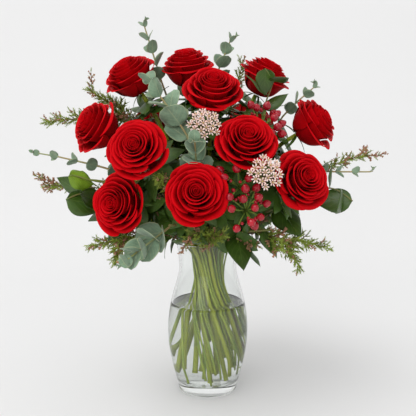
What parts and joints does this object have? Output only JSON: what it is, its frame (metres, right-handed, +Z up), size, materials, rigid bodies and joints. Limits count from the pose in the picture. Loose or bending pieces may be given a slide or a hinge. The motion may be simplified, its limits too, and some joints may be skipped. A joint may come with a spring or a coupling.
{
  "type": "roses in a vase",
  "caption": "Mixed bouquet of red roses, eucalyptus, heath, salal, hypericum and rice flower standing in a waisted clear glass vase of water.",
  "frame": {"origin": "centre of the vase's flat foot, on the surface it stands on", "axes": "+Z up along the vase's axis, -Y towards the front of the arrangement, where most of the blooms face, and +X to its right"},
  "size_m": [0.4296, 0.3003, 0.4913],
  "materials": {
    "vase_glass": "polished",
    "water": "gloss",
    "rose_petal": "satin",
    "rose_stem": "satin",
    "eucalyptus": "matte",
    "heath": "matte",
    "salal": "satin",
    "hypericum": "gloss",
    "rice_flower": "matte",
    "ivy": "satin"
  },
  "bodies": {
    "root": {"vase": "vase_glass", "water": "water", "rose_stem_01": "rose_stem", "rose_stem_02": "rose_stem", "rose_stem_03": "rose_stem", "rose_stem_04": "rose_stem", "rose_stem_05": "rose_stem", "rose_stem_06": "rose_stem", "rose_stem_07": "rose_stem", "rose_stem_08": "rose_stem", "rose_stem_09": "rose_stem", "rose_stem_10": "rose_stem", "rose_stem_11": "rose_stem", "rose_stem_12": "rose_stem", "rose_stem_13": "rose_stem", "rose_stem_14": "rose_stem", "rose_bloom_01": "rose_petal", "rose_bloom_02": "rose_petal", "rose_bloom_03": "rose_petal", "rose_bloom_04": "rose_petal", "rose_bloom_05": "rose_petal", "rose_bloom_06": "rose_petal", "rose_bloom_07": "rose_petal", "rose_bloom_08": "rose_petal", "rose_bloom_09": "rose_petal", "rose_bloom_10": "rose_petal", "rose_bloom_11": "rose_petal", "rose_bloom_12": "rose_petal", "rose_bloom_13": "rose_petal", "rose_bloom_14": "rose_petal", "eucalyptus_01": "eucalyptus", "eucalyptus_02": "eucalyptus", "eucalyptus_03": "eucalyptus", "eucalyptus_04": "eucalyptus", "eucalyptus_05": "eucalyptus", "eucalyptus_06": "eucalyptus", "eucalyptus_07": "eucalyptus", "eucalyptus_08": "eucalyptus", "eucalyptus_09": "eucalyptus", "heath_01": "heath", "heath_02": "heath", "heath_03": "heath", "heath_04": "heath", "heath_05": "heath", "heath_06": "heath", "heath_07": "heath", "heath_08": "heath", "heath_09": "heath", "salal_01": "salal", "salal_02": "salal", "salal_03": "salal", "salal_04": "salal", "salal_05": "salal", "salal_06": "salal", "hypericum_01": "hypericum", "hypericum_02": "hypericum", "hypericum_03": "hypericum", "rice_flower_01": "rice_flower", "rice_flower_02": "rice_flower", "ivy_01": "ivy"}
  },
  "joints": []
}
